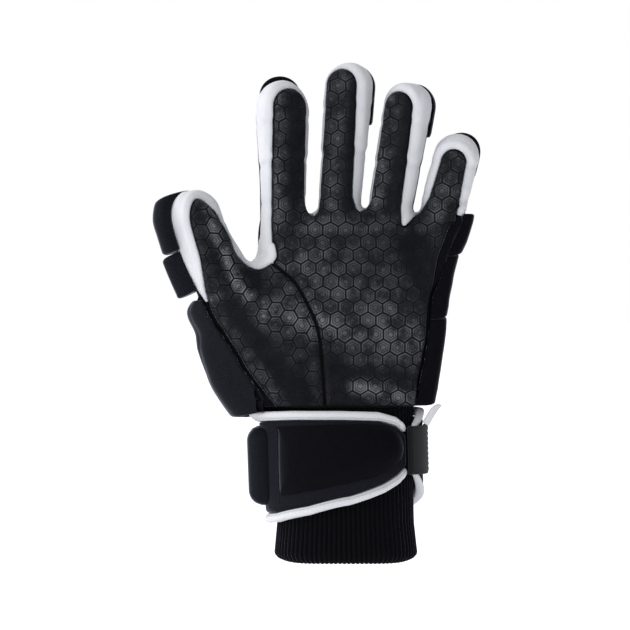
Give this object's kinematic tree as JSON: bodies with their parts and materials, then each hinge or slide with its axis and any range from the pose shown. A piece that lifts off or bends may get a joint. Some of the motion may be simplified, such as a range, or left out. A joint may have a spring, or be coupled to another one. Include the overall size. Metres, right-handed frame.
{
  "type": "field hockey glove",
  "caption": "Padded field hockey glove for the left hand with a printed black palm, white gussets, foam pads on the back, a ribbed cuff and a wrapped wrist.",
  "frame": {"origin": "middle of the open mouth of the knitted cuff, where the hand goes in", "axes": "+Z from the cuff to the fingertips, -Y to the palm side, -X to the thumb side"},
  "size_m": [0.189, 0.0746, 0.2956],
  "materials": {
    "palm_suede": "matt suede with a raised dark grip print",
    "neoprene": "matt fabric-faced foam",
    "white_stretch": "matt stretch fabric",
    "white_binding": "stitched binding",
    "knit": "ribbed knit",
    "webbing": "woven hook-and-loop tape"
  },
  "bodies": {
    "root": {"palm_panel": "palm_suede", "thumb_panel": "palm_suede", "back_panel": "neoprene", "gusset_thumb_side": "white_stretch", "gusset_thumb_index": "white_stretch", "gusset_index_middle": "white_stretch", "gusset_middle_ring": "white_stretch", "gusset_ring_little": "white_stretch", "gusset_little_side": "white_stretch", "index_root_pad": "neoprene", "index_mid_pad": "neoprene", "index_tip_pad": "neoprene", "middle_root_pad": "neoprene", "middle_mid_pad": "neoprene", "middle_tip_pad": "neoprene", "ring_root_pad": "neoprene", "ring_mid_pad": "neoprene", "ring_tip_pad": "neoprene", "little_mid_pad": "neoprene", "little_tip_pad": "neoprene", "thumb_mid_pad": "neoprene", "thumb_tip_pad": "neoprene", "thumb_base_pad": "neoprene", "knuckle_band": "neoprene", "hand_band": "neoprene", "heel_band": "neoprene", "wrist_wrap": "neoprene", "wrist_front_pad": "neoprene", "wrist_side_pad": "neoprene", "knit_cuff": "knit", "piping_top": "white_binding", "piping_bottom": "white_binding", "closure_strap": "webbing"}
  },
  "joints": []
}
